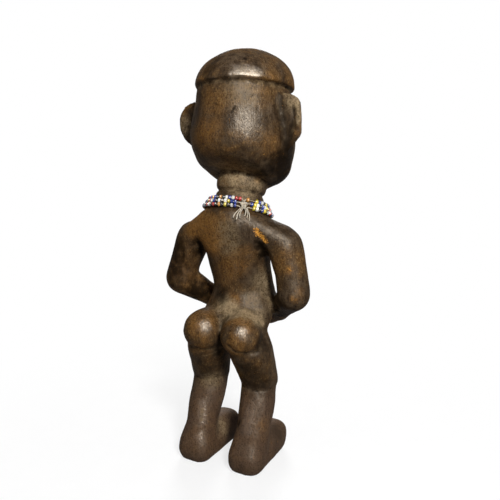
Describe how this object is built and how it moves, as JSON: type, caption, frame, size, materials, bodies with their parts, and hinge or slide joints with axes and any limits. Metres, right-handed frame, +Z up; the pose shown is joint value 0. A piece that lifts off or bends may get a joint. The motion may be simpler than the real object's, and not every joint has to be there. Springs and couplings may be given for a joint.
{
  "type": "fertility doll",
  "caption": "Standing carved wooden fertility doll with hands on the belly, upright ears and a cap of hair, wearing strands of small glass beads tied at the nape.",
  "frame": {"origin": "on the ground under the middle of the figure's width and depth", "axes": "+Z up, -Y the way the figure faces, +X the figure's left"},
  "size_m": [0.115, 0.0898, 0.295],
  "materials": {
    "wood": "dark brown patina, waxed by handling, worn to orange brown on the high spots",
    "cotton": "undyed twisted cotton thread",
    "white_glass": "glossy opaque white glass",
    "blue_glass": "glossy opaque blue glass",
    "yellow_glass": "glossy opaque yellow glass",
    "red_glass": "glossy opaque red glass",
    "black_glass": "glossy opaque black glass",
    "amber_glass": "glossy opaque amber glass"
  },
  "bodies": {
    "figure": {"carved_figure": "wood"},
    "necklace": {"nape_knot": "cotton", "upper_thread": "cotton", "middle_thread": "cotton", "lower_thread": "cotton", "upper_strand_white_beads": "white_glass", "upper_strand_blue_beads": "blue_glass", "upper_strand_yellow_beads": "yellow_glass", "upper_strand_red_beads": "red_glass", "upper_strand_black_beads": "black_glass", "upper_strand_amber_beads": "amber_glass", "middle_strand_white_beads": "white_glass", "middle_strand_blue_beads": "blue_glass", "middle_strand_yellow_beads": "yellow_glass", "middle_strand_red_beads": "red_glass", "middle_strand_black_beads": "black_glass", "middle_strand_amber_beads": "amber_glass", "lower_strand_white_beads": "white_glass", "lower_strand_blue_beads": "blue_glass", "lower_strand_yellow_beads": "yellow_glass", "lower_strand_red_beads": "red_glass", "lower_strand_black_beads": "black_glass", "lower_strand_amber_beads": "amber_glass"}
  },
  "joints": [
    {"name": "necklace_turn", "type": "hinge", "parent": "figure", "child": "necklace", "pos_m": [0, 0.003, 0.1855], "axis": [0, -0.309, 0.9511], "range_deg": [-180, 180], "deforming": ["upper_thread", "middle_thread", "lower_thread"]}
  ]
}
